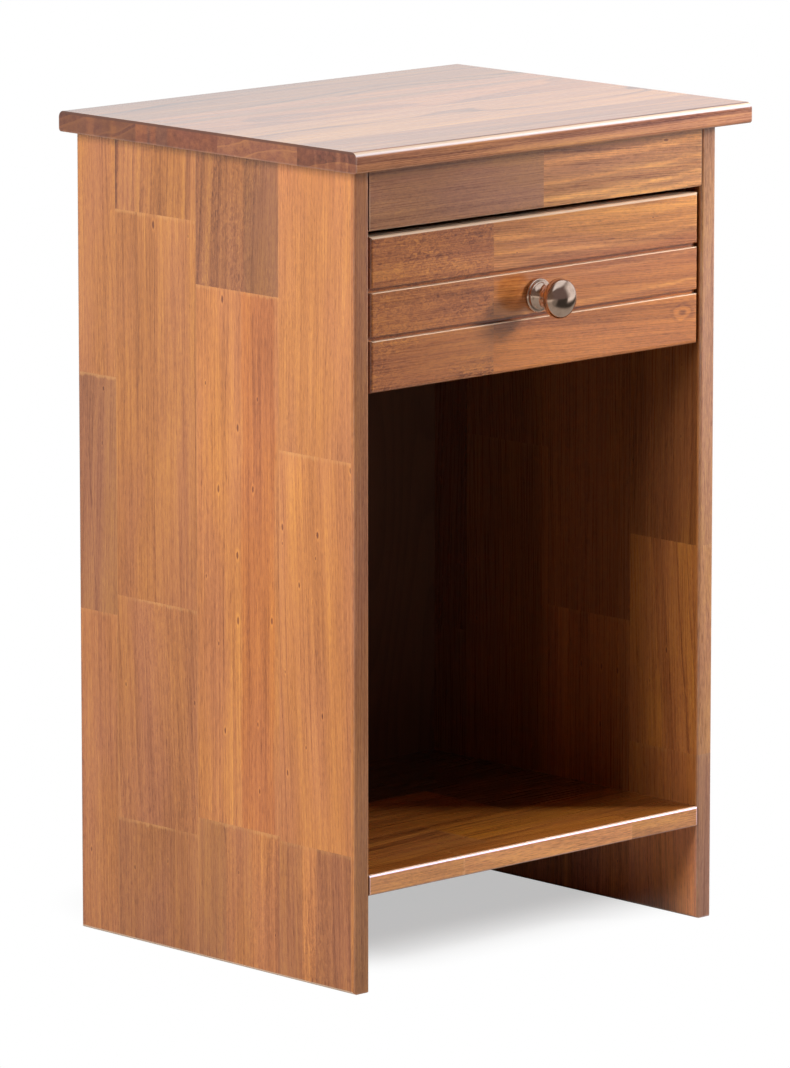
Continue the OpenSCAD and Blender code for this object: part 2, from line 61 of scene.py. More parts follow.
VARNISH = {"IOR": 1.5, "Coat Roughness": 0.15, "Coat IOR": 1.5}

Colour = tuple[float, float, float]
Socket = bpy.types.NodeSocket
Value = Union[float, Sequence[float], Socket, "Number"]
Vec = Hue = Socket     # a vector and a colour that vary over a surface


class Axis(Enum):
    """An axis of the frame."""

    X = 0
    Y = 1
    Z = 2


class Tone(Enum):
    """Stained colour of one stave, as linear red, green and blue."""

    GOLD = (0.625, 0.245, 0.078)
    STRAW = (0.600, 0.228, 0.070)
    HONEY = (0.542, 0.201, 0.063)
    GINGER = (0.520, 0.172, 0.048)
    AMBER = (0.487, 0.180, 0.059)
    COPPER = (0.455, 0.150, 0.047)
    CLAY = (0.420, 0.155, 0.056)
    RUSSET = (0.375, 0.124, 0.043)
    UMBER = (0.350, 0.133, 0.053)
    MAUVE = (0.310, 0.115, 0.056)


# ---- node graphs


def arithmetic(operation: str, swapped: bool = False) -> Callable[[Number, Value], Number]:
    """Makes the method behind an operator such as +.

    Args:
        operation: the Math node's operation.
        swapped: whether the other value comes first.

    Returns:
        The method.
    """
    def method(self: Number, other: Value) -> Number:
        return self.g.math(operation, *((other, self) if swapped else (self, other)))
    return method


@dataclass(frozen=True)
class Number:
    """A number that varies over a surface; arithmetic on it adds nodes to its graph."""

    g: Graph
    socket: Socket

    __add__ = __radd__ = arithmetic("ADD")
    __mul__ = __rmul__ = arithmetic("MULTIPLY")
    __sub__ = arithmetic("SUBTRACT")
    __rsub__ = arithmetic("SUBTRACT", swapped=True)
    __truediv__ = arithmetic("DIVIDE")


Field = Union[Number, Socket]


class Graph:
    """A node tree under construction, with a short call for each kind of node that recurs."""

    def __init__(self, tree: bpy.types.NodeTree) -> None:
        """Wraps the tree that new nodes go into."""
        self.tree = tree

    def wrap(self, socket: Socket) -> Field:
        """Gives an output as a number where it is one."""
        return Number(self, socket) if socket.type == "VALUE" else socket

    def feed(self, socket: Socket, value: Value) -> None:
        """Links a socket to another one, or sets its own value."""
        if isinstance(value, Number):
            value = value.socket
        if isinstance(value, Socket):
            self.tree.links.new(value, socket)
        elif socket.type == "RGBA" and len(value) == 3:
            socket.default_value = (*value, 1.0)
        else:
            socket.default_value = value

    def add(self, kind: str, inputs: dict | None = None, **settings) -> bpy.types.Node:
        """Adds one node.

        Args:
            kind: the node's type, without its ShaderNode prefix.
            inputs: what goes into its sockets, by name or place.
            **settings: its properties.

        Returns:
            The new node.
        """
        node = self.tree.nodes.new(kind if kind.startswith("NodeGroup") else "ShaderNode" + kind)
        for key, value in settings.items():
            setattr(node, key, value)
        for key, value in (inputs or {}).items():
            self.feed(node.inputs[key], value)
        return node

    def field(self, kind: str, inputs: dict | None = None, output: str | int = 0, **settings) -> Field:
        """Adds one node and gives one of its outputs."""
        return self.wrap(self.add(kind, inputs, **settings).outputs[output])

    def math(self, operation: str, *values: Value, clamp: bool = False) -> Number:
        """Works out a number from one to three others."""
        return self.field("Math", dict(enumerate(values)), operation=operation, use_clamp=clamp)

    def least(self, *values: Value) -> Number:
        """Gives the smallest of some numbers."""
        return reduce(lambda a, b: self.math("MINIMUM", a, b), values)

    def most(self, *values: Value) -> Number:
        """Gives the largest of some numbers."""
        return reduce(lambda a, b: self.math("MAXIMUM", a, b), values)

    def vector(self, operation: str, *values: Value) -> Field:
        """Works out a vector from one to three others, or a number for a dot product or a length."""
        places = (0, 3) if operation == "SCALE" else range(3)
        output = "Value" if operation in ("DOT_PRODUCT", "LENGTH") else "Vector"
        return self.field("VectorMath", dict(zip(places, values)), output, operation=operation)

    def split(self, value: Value) -> tuple[Number, ...]:
        """Gives the three parts of a vector."""
        return tuple(self.wrap(part) for part in self.add("SeparateXYZ", {0: value}).outputs)

    def join(self, x: Value, y: Value, z: Value) -> Vec:
        """Makes a vector of three numbers."""
        return self.field("CombineXYZ", {0: x, 1: y, 2: z})

    def band(self, value: Value, low: float, high: float, start: float = 0.0, end: float = 1.0) -> Number:
        """Carries the stretch from low to high smoothly onto start to end, and holds beyond it."""
        inputs = {0: value, 1: low, 2: high, 3: start, 4: end}
        return self.field("MapRange", inputs, interpolation_type="SMOOTHSTEP")

    def blend(self, factor: Value, a: Value, b: Value, mode: str = "MIX") -> Hue:
        """Mixes two colours."""
        return self.field("Mix", {0: factor, 6: a, 7: b}, 2, data_type="RGBA", blend_type=mode)

    def tinted(self, colour: Value, stain: Value) -> Hue:
        """Multiplies a colour by another one."""
        return self.blend(1.0, colour, stain, "MULTIPLY")

    def shaded(self, colour: Value, shade: Number, dark: Colour, pale: Colour) -> Hue:
        """Multiplies a colour towards dark where shade is below 0 and towards pale where it is above."""
        for sign, stain in ((-1.0, dark), (1.0, pale)):
            share = self.math("MULTIPLY", shade, sign, clamp=True)
            colour = self.tinted(colour, self.blend(share, WHITE, stain))
        return colour

    def lerp(self, factor: Value, a: Value, b: Value) -> Vec:
        """Mixes two vectors."""
        return self.field("Mix", {0: factor, 4: a, 5: b}, 1, data_type="VECTOR")

    def noise(self, place: Value, cycles: Sequence[float], detail: float = 2.0, rough: float = 0.5,
              twist: float = 0.0, output: str = "Fac") -> Field:
        """Smooth noise, with its number of cycles per unit of place along each axis."""
        inputs = {"Vector": self.vector("MULTIPLY", place, cycles), "Scale": 1.0, "Detail": detail,
                  "Roughness": rough, "Distortion": twist}
        return self.field("TexNoise", inputs, output)

    def random(self, seed: Value) -> tuple[Number, Hue]:
        """A number and a colour that depend on the seed alone."""
        value, colour = self.add("TexWhiteNoise", {"W": seed}, noise_dimensions="1D").outputs
        return self.wrap(value), colour

    def place_mm(self) -> Vec:
        """Position in the object, in millimetres."""
        return self.vector("MULTIPLY", self.field("TexCoord", output="Object"), PER_MM)


Drawn = dict[str, Field]


class Effect:
    """A node group that several materials share, drawn by a function when it is first used.

    The function's parameters after its graph are the group's inputs, and the dictionary that it returns
    holds the group's outputs.
    """

    kinds = {"Vec": "NodeSocketVector", "Hue": "NodeSocketColor", "Number": "NodeSocketFloat"}
    output_kinds = {"colour": "NodeSocketColor", "traits": "NodeSocketVector", "gaps": "NodeSocketVector"}

    def __init__(self, draw: Callable[..., Drawn]) -> None:
        """Keeps the function that draws the group."""
        self.draw = draw

    def tree(self) -> bpy.types.NodeTree:
        """Gives the group's node tree, and builds it the first time."""
        known = bpy.data.node_groups.get(self.draw.__name__)
        if known:
            return known
        tree = bpy.data.node_groups.new(self.draw.__name__, "ShaderNodeTree")
        for label, kind in self.draw.__annotations__.items():
            if kind in self.kinds:
                tree.interface.new_socket(label, in_out="INPUT", socket_type=self.kinds[kind])
        g = Graph(tree)
        given = g.add("NodeGroupInput").outputs
        drawn = self.draw(g, **{socket.name: g.wrap(socket) for socket in given if socket.name})
        for label in drawn:
            kind = self.output_kinds.get(label, "NodeSocketFloat")
            tree.interface.new_socket(label, in_out="OUTPUT", socket_type=kind)
        g.add("NodeGroupOutput", drawn)
        return tree

    def __call__(self, g: Graph, **inputs: Value) -> Drawn:
        """Places the group in a graph.

        Args:
            g: the graph.
            **inputs: what goes into it.

        Returns:
            Its outputs.
        """
        node = g.add("Group", inputs, node_tree=self.tree())
        return {socket.name: g.wrap(socket) for socket in node.outputs}


# ---- wood effects

DARK_STAIN = (0.34, 0.25, 0.30)
PALE_STAIN = (1.58, 1.88, 1.40)
END_STAIN = (0.46, 0.41, 0.67)
WORN_AND_HIGHLIT_WOOD = (0.94, 0.70, 0.50)
GLUE_LINE = (0.70, 0.34, 0.12)
PAINTED_DARK_ARRIS = (0.10, 0.035, 0.022)


@Effect
def stave_mark(g: Graph, place: Vec, low: Vec, high: Vec, tone: Hue, own_traits: Vec, own_seed: Number,
               colour: Hue, traits: Vec, gaps: Vec, seed: Number) -> Drawn:
    """Lays one stave over what lies below: inside its rectangle its own colour and traits hold.

    X runs across the stave and Z along it. The gaps are to its low side, its high side and its head.
    """
    past_x, _, past_z = g.split(g.vector("SUBTRACT", place, low))
    left_x, _, left_z = g.split(g.vector("SUBTRACT", high, place))
    inside = g.math("GREATER_THAN", g.least(past_x, left_x, past_z, left_z), 0.0)
    return {"colour": g.blend(inside, colour, tone),
            "traits": g.lerp(inside, traits, own_traits),
            "gaps": g.lerp(inside, gaps, g.join(past_x, left_x, left_z)),
            "seed": inside * (own_seed - seed) + seed}


@Effect
def colour_band(g: Graph, place: Vec, low: Vec, high: Vec, tone: Hue, soft: Number, colour: Hue) -> Drawn:
    """Lays a lengthwise band of another colour over part of a stave, with soft sides that wander."""
    wander = g.noise(place, (0.0, 0.0, 0.009), rough=0.6)
    ragged = g.noise(place, (0.5, 0.5, 0.03))
    sway = (wander - 0.5) * 11.0 + (ragged - 0.5) * soft
    past_x, _, past_z = g.split(g.vector("SUBTRACT", place, low))
    left_x, _, left_z = g.split(g.vector("SUBTRACT", high, place))
    side = g.least(past_x + sway, left_x - sway)
    inside = g.math("SMOOTH_MIN", side / soft, 1.0, 0.3, clamp=True)
    along = g.math("GREATER_THAN", g.least(past_z, left_z), 0.0)
    return {"colour": g.blend(inside * along, colour, tone)}


def growth_rings(g: Graph, flat: Vec, place: Vec, past_x: Number, seed: Number,
                 chance: tuple[Number, ...]) -> tuple[Number, Number]:
    """Cuts the distance from a wandering pith line into rings of unequal width and strength.

    Args:
        g: the group's tree.
        flat: position on the board.
        place: position with the stave's own offset.
        past_x: distance from the stave's low side.
        seed: the stave's seed.
        chance: the stave's random numbers.

    Returns:
        A mask of thin latewood lines, and each ring's own lightness from -0.5 to 0.5.
    """
    _, face_y, along = g.split(flat)
    drift_x, drift_y, _ = g.split(g.noise(place, (0.010, 0.010, 0.0022), rough=0.45, output="Color"))
    reach_x = (drift_x - 0.5) * 26.0 + (past_x + (chance[0] * 260.0 + 20.0))
    reach_y = (drift_y - 0.5) * 40.0 + (face_y + (chance[1] * 160.0 - 40.0))
    radius = along * ((chance[2] - 0.5) * 0.03) + g.vector("LENGTH", g.join(reach_x, reach_y, 0.0))
    radius = g.noise(place, (0.10, 0.10, 0.014)) * 1.8 + radius
    swell = g.field("TexNoise", {"W": radius * 0.045 + seed * 9.7, "Scale": 1.0, "Detail": 1.0}, "Fac",
                    noise_dimensions="1D")
    width = chance[2] * 6.0 + 7.0
    ring = (swell * 30.0 + radius) / width
    turn = g.math("FRACT", ring)
    strength, lightness = g.random(seed * 37.0 + g.math("FLOOR", ring))
    past_line = (1.0 - turn) * width
    sharp = g.band(past_line, 0.35, 1.3, 1.0, 0.0) * g.band(past_line, 0.0, 0.25)
    ramp = g.band(turn, 0.35, 1.0) * 0.25
    line = g.most(sharp, ramp) * (g.math("POWER", strength, 1.6) * 0.85 + 0.15)
    return line, g.split(lightness)[0] - 0.5


@Effect
def timber(g: Graph, place: Vec, colour: Hue, traits: Vec, gaps: Vec, seed: Number, end: Number,
           arris: Number, glue: Number, shade: Number) -> Drawn:
    """Stained, satin hardwood: growth rings round each stave's own pith, fibres, pores and flecks.

    X runs across the face, Y into the board and Z along the grain. Traits are how strong the ring lines,
    the interlocked figure and the flecks are. Adds up what lightens or darkens the stain, then colours it.
    """
    past_x, left_x, head_gap = g.split(gaps)
    lines, figure, flecks = g.split(traits)
    _, draw = g.random(seed)
    chance = g.split(draw)
    slant = (chance[2] - 0.5) * (g.split(place)[2] * 0.10)
    flat, place = place, g.vector("MULTIPLY_ADD", draw, (3000.0, 3000.0, 3000.0),
                                  g.vector("ADD", place, g.join(slant, 0.0, 0.0)))
    line, ring_tint = growth_rings(g, flat, place, past_x + slant, seed, chance)

    # Fibres, grit, streaks and broad clouds; ripples are the short marks of interlocked grain
    fibre = g.noise(place, (1.5, 1.5, 0.012), rough=0.6)
    grit = g.noise(place, (1.5, 1.5, 0.16), rough=0.6)
    streak = g.noise(place, (0.21, 0.21, 0.005), rough=0.6)
    cloud_light, cloud_hue, patch = g.split(g.noise(place, (0.028, 0.028, 0.006), output="Color"))
    ripple = g.noise(place, (0.42, 0.42, 0.24), twist=1.4)
    total = ring_tint * (lines * 0.34)
    for part, share in ((fibre, 1.2), (grit, 1.2), (streak, lines * 0.7 + 0.5), (cloud_light, 0.9)):
        total = (part - 0.5) * share + total
    total = (ripple - 0.5) * (figure * g.band(patch, 0.35, 0.6, 0.3, 1.3)) * 1.7 + total
    total = (line * lines) * (end * 1.27 - 0.62) + total

    # Pores are short dark dashes; flecks are small pins of dark wood with a pale lip
    pore = g.band(g.noise(place, (1.6, 1.6, 0.14), detail=0.0), 0.64, 0.78)
    place_x, _, place_z = g.split(place)
    pins = g.add("TexVoronoi", {"Vector": g.join(place_x * 0.055, place_z * 0.022, 0.0), "Scale": 1.0},
                 voronoi_dimensions="2D").outputs
    picked, size, _ = g.split(pins["Color"])
    picked = g.math("LESS_THAN", picked, flecks)
    reach = g.wrap(pins["Distance"]) * (size * 1.5 + 0.9)
    pin = g.band(reach, 0.035, 0.08, 1.0, 0.0) * picked
    lip = g.band(reach, 0.08, 0.15, 1.0, 0.0) * picked
    for part, share in ((pore, -0.30), (lip, 0.35), (pin, -1.25)):
        total = part * share + total
    stain = g.blend(g.band(cloud_hue, 0.3, 0.7), g.tinted(colour, (0.98, 0.95, 1.12)),
                    g.tinted(colour, (1.03, 1.01, 0.86)))
    colour = g.shaded(stain, total + shade, DARK_STAIN, PALE_STAIN)

    # Joints: a pale, toothed band at a stave's head and a faint line down its sides
    teeth = g.noise(place, (0.42, 0.42, 0.05), detail=1.0)
    head = g.band((teeth - 0.5) * 5.0 + head_gap, 0.8, 3.0, 1.0, 0.0) * g.band(patch, 0.35, 0.6, 0.15, 0.55)
    seam = g.band(g.least(past_x, left_x), 0.15, 0.8, 0.22, 0.0)
    colour = g.blend((g.most(head, seam) * (1.0 - end)) * glue, colour, GLUE_LINE)

    # End grain drinks more stain; the arrises lose some, and the rounded edges that face the light get the same
    # pale colour as a painted highlight.
    colour = g.blend(end, colour, g.tinted(colour, END_STAIN))
    colour = g.blend(arris, colour, WORN_AND_HIGHLIT_WOOD)
    return {"colour": colour, "roughness": fibre * 0.12 + (end * 0.15 + 0.22)}


@Effect
def relief(g: Graph, place: Vec) -> Drawn:
    """Height of the open grain that shows through the varnish, at about the scale of the timber's fibres."""
    fibre = g.noise(place, (1.35, 1.35, 0.03), rough=0.6)
    pore = g.band(g.noise(place, (1.6, 1.6, 0.14), detail=0.0), 0.62, 0.78)
    wave = g.noise(place, (0.10, 0.10, 0.02))
    return {"height": pore * -0.5 + (wave * 1.5 + fibre * 0.5)}


@Effect
def knot_mark(g: Graph, place: Vec, middle: Vec, below: Number) -> Drawn:
    """A small knot: a dark heart in a pale eye, ringed by grain that flows round it."""
    away = g.vector("SUBTRACT", place, middle)
    bent = g.noise(place, (0.25, 0.25, 0.12))
    reach = (bent - 0.5) * 4.0 + g.vector("LENGTH", g.vector("MULTIPLY", away, (1.0, 0.0, 0.55)))
    heart = g.band(reach, 0.6, 2.2, -0.55, 0.0)
    eye = g.band(reach, 1.5, 3.0) * g.band(reach, 3.2, 6.5, 0.35, 0.0)
    edge = g.band(reach, 4.6, 5.4) * g.band(reach, 5.4, 7.5, -0.35, 0.0)
    return {"shade": (heart + eye) + (edge + below)}


@Effect
def arris_wear(g: Graph, place: Vec, low: Vec, high: Vec, width: Number) -> Drawn:
    """Finds the edges of a board's box, in metres: the middle one of the three distances is small there.

    Noise breaks the band up, so that the wear isn't even.
    """
    past = g.vector("SUBTRACT", place, low)
    left = g.vector("SUBTRACT", high, place)
    a, b, c = g.split(g.vector("MINIMUM", past, left))
    middle = g.most(g.least(a, b), g.least(g.most(a, b), c))
    worn = g.noise(place, (90.0, 90.0, 90.0), detail=3.0) * 0.8 + middle / width
    return {"mask": g.band(worn, 0.5, 1.3, 1.0, 0.0)}


@Effect
def veneer(g: Graph, place: Vec, colour: Hue, edge: Number, ply: Number) -> Drawn:
    """Rotary-cut veneer: broad wavy figure on the face, and the crossed plies at the edges.

    X runs across the face, Y through the sheet and Z along the grain.
    """
    drift = g.noise(place, (0.006, 0.0, 0.0012), rough=0.6)
    turn = g.math("FRACT", drift * 26.0)
    figure = g.band(turn, 0.3, 0.95) * g.band(turn, 0.95, 1.0, 1.0, 0.0)
    fibre = g.noise(place, (1.1, 0.0, 0.02), rough=0.6)
    pore = g.band(g.noise(place, (1.3, 0.0, 0.09), detail=0.0), 0.62, 0.78)
    cloud = g.noise(place, (0.012, 0.0, 0.004))
    shade = (cloud - 0.5) * 0.7 + ((fibre - 0.5) * 0.8 + figure * -0.28)
    layer = g.math("FRACT", g.split(place)[1] / (ply * 2.0))
    crossed = g.math("GREATER_THAN", layer, 0.5) * edge
    shade = crossed * -0.5 + (pore * -0.3 + shade)
    return {"colour": g.shaded(colour, shade, (0.35, 0.27, 0.25), (1.7, 1.9, 1.9)),
            "roughness": fibre * 0.15 + 0.42, "height": pore * -0.6 + fibre}


@Effect
def beech_grain(g: Graph, place: Vec, colour: Hue) -> Drawn:
    """Pale beech with its short brown ray flecks; the grain runs along X."""
    fleck = g.band(g.noise(place, (0.22, 1.3, 1.3), detail=1.0), 0.56, 0.68)
    fibre = g.noise(place, (0.04, 2.0, 2.0))
    darker = g.tinted(colour, (0.62, 0.50, 0.40))
    return {"colour": g.blend(fleck * 0.7 + fibre * 0.35, colour, darker),
            "roughness": fibre * 0.2 + 0.55, "height": fibre}


# ---- other effects


@Effect
def rubber_skin(g: Graph, place: Vec, colour: Hue) -> Drawn:
    """Moulded rubber: a fine, dull skin with a little bloom."""
    skin = g.noise(place, (3.5, 3.5, 3.5), detail=3.0)
    bloom = g.band(g.noise(place, (0.3, 0.3, 0.3)), 0.45, 0.7, 0.0, 0.5)
    return {"colour": g.blend(bloom, colour, (0.09, 0.09, 0.095)),
            "roughness": skin * 0.3 + 0.5, "height": skin}


@Effect
def handling(g: Graph, place: Vec, roughness: Number, spread: Number, colour: Hue) -> Drawn:
    """Faint smears and fine scratches on metal, at a place in metres.

    They cloud the roughness around its given value and dull the colour where it is rough.
    """
    smear = g.noise(place, (140.0, 140.0, 140.0), detail=3.0)
    mixed = g.noise(place, (2600.0, 2600.0, 160.0), detail=1.0) * 0.4 + smear
    dull = g.tinted(colour, (0.82, 0.80, 0.78))
    return {"colour": g.blend(g.band(mixed, 0.6, 0.95), colour, dull),
            "roughness": g.math("ADD", roughness, (mixed - 0.7) * spread, clamp=True), "height": mixed}


# ---- finishes


def emptied(owner: bpy.types.Material | bpy.types.World) -> Graph:
    """Gives a material or world an empty graph."""
    owner.use_nodes = True
    owner.node_tree.nodes.clear()
    return Graph(owner.node_tree)


def finished(name: str, surface: dict[str, Value], draw: Callable[[Graph], Drawn], strength: float,
             depth_mm: float = 0.1) -> bpy.types.Material:
    """Makes a material with one Principled shader.

    Args:
        name: the material's name.
        surface: values set on the shader's own sockets.
        draw: draws its colour, roughness and height.
        strength: strength of the bump.
        depth_mm: depth of the bump.

    Returns:
        The material.
    """
    material = bpy.data.materials.new(name)
    g = emptied(material)
    drawn = draw(g)
    bump = g.field("Bump", {"Strength": strength, "Distance": depth_mm * MM, "Height": drawn["height"]})
    look = {"Base Color": drawn["colour"], "Roughness": drawn["roughness"], "Normal": bump}
    g.add("OutputMaterial", {"Surface": g.field("BsdfPrincipled", surface | look)})
    return material


def dress(node: str, material: bpy.types.Material) -> None:
    """Puts one material into every slot of a CAD node."""
    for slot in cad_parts[node].material_slots:
        slot.material = material


# ---- boards

FACE_ON = (0.6, 0.9)    # dot products between which a face comes to count as facing a way
BEYOND = 50.0           # how far the outer staves run past their board, in millimetres
NO_LIMIT = 1e3
HEAD_WAVE = 1.4         # how unevenly the heads of the staves are cut, in millimetres
BAND_INSET = 0.1        # how far a band stops short of its stave's sides
BAND_SOFT = 2.0         # widest soft side of a band
WORN_WIDTH = 1.6 * MM
GRAIN_RELIEF = (0.25, 0.12)     # strength, and depth in millimetres
SEEDS_PER_STRIP = 11


@dataclass(frozen=True)
class Stave:
    """One length of timber in a strip.

    Attributes:
        length_mm: its length along the grain; a strip's last stave runs on to the board's end.
        tone: its stained colour.
        lines: how strong its ring lines are.
        figure: how much interlocked figure it has.
        flecks: how many of its possible pin flecks show, from 0 to 1.
        shade: multiplies its tone.
        bands: lengthwise bands of other colour: distance from its low side, width and tone.
    """

    length_mm: float
    tone: Tone
    lines: float = 0.6
    figure: float = 0.25
    flecks: float = 0.1
    shade: float = 1.0
    bands: tuple[tuple[float, float, Tone], ...] = ()


@dataclass(frozen=True)
class Strip:
    """Staves end to end, as wide as the strip; a board's last strip runs on to its edge."""

    width_mm: float
    staves: tuple[Stave, ...]


@dataclass(frozen=True)
class Lip:
    """Painted highlight on pale rounded edges (worn edges on the left panel): how pale, which way they face,
    and the dot products where that starts and is full.
    """

    strength: float
    way: Colour
    start: float
    full: float


@dataclass(frozen=True)
class Inside:
    """Painted shade and painted light on the face that looks into the stand, which set it apart from the outer
    one.

    Attributes:
        way: the way it faces.
        stain: multiplies its colour, a painted shade inside the stand.
        steps: painted shade that darkens it towards the back: start, end and share, in millimetres along Y.
        foot_mm: height up to which it is a paler foot, painted light under the shelf.
        foot: multiplies the foot's colour instead, as painted light.
    """

    way: Colour
    stain: Colour
    steps: tuple[Colour, ...]
    foot_mm: float
    foot: Colour

    def lay(self, g: Graph, parts: tuple[Number, ...], normal: Vec, colour: Hue) -> Hue:
        """Lays the painted shade and painted light over the board's colour.

        Args:
            g: the material's graph.
            parts: position in millimetres.
            normal: the surface's normal.
            colour: the board's colour.

        Returns:
            The colour with this face's painted shade and painted light.
        """
        facing = g.band(g.vector("DOT_PRODUCT", normal, self.way), *FACE_ON)
        # Painted shade darkens the face towards the back; its foot under the shelf gets painted light instead.
        deep_shade: Value = self.stain
        for start, end, share in self.steps:
            deep_shade = g.vector("SCALE", deep_shade, g.band(parts[1], start, end, 1.0, share))
        stain = g.blend(g.math("LESS_THAN", parts[2], self.foot_mm), deep_shade, self.foot)
        return g.blend(facing, colour, g.tinted(colour, stain))


@dataclass(frozen=True)
class Board:
    """A solid board glued up from strips of staves.

    Attributes:
        node: the CAD node that it dresses.
        grain: the axis along which the staves run.
        across: the axis along which the strips lie side by side.
        strips: the strips, from the low side of the across axis.
        gloss: how much clear coat shows.
        tint: multiplies the colour of every stave.
        glue: how clearly the joints show.
        lip: its pale rounded edges, a painted highlight, and worn edges on the left panel.
        wear: how pale its other arrises are.
        edge: multiplies the colour of the edges that face across the strips, as a painted sheen and painted
            light, and on the left panel partly painted shade.
        inner: painted shade on the face that looks into the stand, darker towards the back, with painted light
            on its foot under the shelf.
        drift: how far the bands climb across the strips per length along the grain.
        crest_mm: height of the dark line along the top of the end grain, a painted dark reflection on its
            arris.
        knots: middles of knots in millimetres, as across, depth and along in the frame.
    """

    node: str
    grain: Axis
    across: Axis
    strips: tuple[Strip, ...]
    gloss: float = 0.8
    tint: Colour = WHITE
    glue: float = 1.0
    lip: Lip | None = None
    wear: float = 0.18
    edge: Colour = WHITE
    inner: Inside | None = None
    drift: float = 0.0
    crest_mm: float = 0.0
    knots: tuple[Colour, ...] = ()

    def dress(self) -> None:
        """Builds the board's material and puts it on the node."""
        dress(self.node, finished(self.node, VARNISH | {"Coat Weight": self.gloss}, self._draw, *GRAIN_RELIEF))
        LOG.info("dressed %s with %d strips", self.node, len(self.strips))

    def _draw(self, g: Graph) -> Drawn:
        """Draws the board's colour, roughness and height."""
        coordinates = g.add("TexCoord").outputs
        position, normal = coordinates["Object"], coordinates["Normal"]
        low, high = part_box(self.node)
        parts = g.split(g.vector("MULTIPLY", position, PER_MM))
        depth = ({0, 1, 2} - {self.grain.value, self.across.value}).pop()
        order = (self.across.value, depth, self.grain.value)
        place = g.join(*(parts[i] for i in order))
        laid = self._staves(g, place, [low[i] / MM for i in order], [high[i] / MM for i in order])
        flat = g.split(g.vector("ABSOLUTE", normal))
        sideways, end = (g.band(flat[axis.value], *FACE_ON) for axis in (self.across, self.grain))
        worn = arris_wear(g, place=position, low=tuple(low), high=tuple(high), width=WORN_WIDTH)
        worn = worn["mask"] * self.wear
        # The lip adds a painted highlight on rounded edges, and worn edges on the left panel, to the arris
        # wear.
        if self.lip:
            facing = g.vector("DOT_PRODUCT", normal, self.lip.way)
            worn = g.most(worn, g.band(facing, self.lip.start, self.lip.full, 0.0, self.lip.strength))
        shade: Value = 0.0
        for knot in self.knots:
            shade = knot_mark(g, place=place, middle=knot, below=shade)["shade"]
        drawn = timber(g, place=place, end=end, arris=worn, glue=self.glue, shade=shade, **laid)
        # Painted sheen, light and shade on the edges that face across the strips.
        colour = g.blend(sideways, drawn["colour"], g.tinted(drawn["colour"], self.edge))
        # Painted shade and painted light on the face that looks into the stand.
        if self.inner:
            colour = self.inner.lay(g, parts, normal, colour)
        # A painted dark reflection along the top arris of the end grain.
        if self.crest_mm:
            below = high.z / MM - parts[2]
            line = g.band(below, self.crest_mm * 0.6, self.crest_mm, 0.85, 0.0) * end
            colour = g.blend(line, colour, PAINTED_DARK_ARRIS)
        return drawn | relief(g, place=place) | {"colour": colour}

    def _staves(self, g: Graph, place: Vec, low: list[float], high: list[float]) -> dict[str, Value]:
        """Lays the staves over one another, each with its bands of other wood.

        Args:
            g: the material's graph.
            place: position in millimetres as across, depth and along.
            low: the board's low corner in the same order.
            high: its high corner.

        Returns:
            Colour, traits, gaps and seed.
        """
        laid: dict[str, Value] = {"colour": (0.5, 0.2, 0.06), "traits": (0.5, 0.2, 0.1),
                                  "gaps": (10.0, 10.0, 10.0), "seed": 0.0}
        wave = (g.noise(place, (0.9, 0.9, 0.0), detail=1.0) - 0.5) * HEAD_WAVE
        place = leant = g.vector("ADD", place, g.join(0.0, 0.0, wave))
        if self.drift:
            climb = g.split(place)[2] * -self.drift
            leant = g.vector("ADD", place, g.join(climb, 0.0, 0.0))
        edge = low[0]
        for row, strip in enumerate(self.strips):
            near = edge if row else edge - BEYOND
            far = edge + strip.width_mm if row < len(self.strips) - 1 else high[0] + BEYOND
            foot = low[2]
            for number, stave in enumerate(strip.staves):
                start = foot if number else foot - BEYOND
                foot += stave.length_mm
                head = foot if number < len(strip.staves) - 1 else high[2] + BEYOND
                laid = stave_mark(g, place=place, low=(near, -NO_LIMIT, start), high=(far, NO_LIMIT, head),
                                  tone=self._stained(stave, stave.tone),
                                  own_traits=(stave.lines, stave.figure, stave.flecks),
                                  own_seed=float(SEEDS_PER_STRIP * row + number + 1), **laid)
                for at, width, tone in stave.bands:
                    low_side = max(edge + at, near + BAND_INSET)
                    high_side = min(edge + at + width, far - BAND_INSET)
                    laid |= colour_band(g, place=leant, low=(low_side, 0.0, start),
                                        high=(high_side, 0.0, head), tone=self._stained(stave, tone),
                                        soft=min(width / 2, BAND_SOFT), colour=laid["colour"])
            edge += strip.width_mm
        return laid

    def _stained(self, stave: Stave, tone: Tone) -> Colour:
        """Gives a tone as it shows on this board's stave."""
        return tuple(c * t * stave.shade for c, t in zip(tone.value, self.tint))


@dataclass(frozen=True)
class Plywood:
    """A sheet of stained plywood.

    Attributes:
        node: the CAD node that it dresses.
        grain: the axis of the face veneer's grain.
        through: the axis of its thickness.
        colour: its stained colour.
        ply_mm: thickness of one ply.
    """

    node: str
    grain: Axis
    through: Axis
    colour: Colour
    ply_mm: float = 0.8

    def dress(self) -> None:
        """Builds the sheet's material and puts it on the node."""
        surface = {"IOR": 1.5, "Coat Weight": 0.15, "Coat Roughness": 0.3}
        dress(self.node, finished(self.node, surface, self._draw, 0.3))
        LOG.info("veneered %s", self.node)

    def _draw(self, g: Graph) -> Drawn:
        """Draws the sheet's colour, roughness and height."""
        parts = g.split(g.place_mm())
        across = ({0, 1, 2} - {self.grain.value, self.through.value}).pop()
        place = g.join(parts[across], parts[self.through.value], parts[self.grain.value])
        flat = g.split(g.vector("ABSOLUTE", g.field("TexCoord", output="Normal")))
        edge = g.band(flat[self.through.value], 0.4, 0.7, 1.0, 0.0)
        return veneer(g, place=place, colour=self.colour, edge=edge, ply=self.ply_mm)


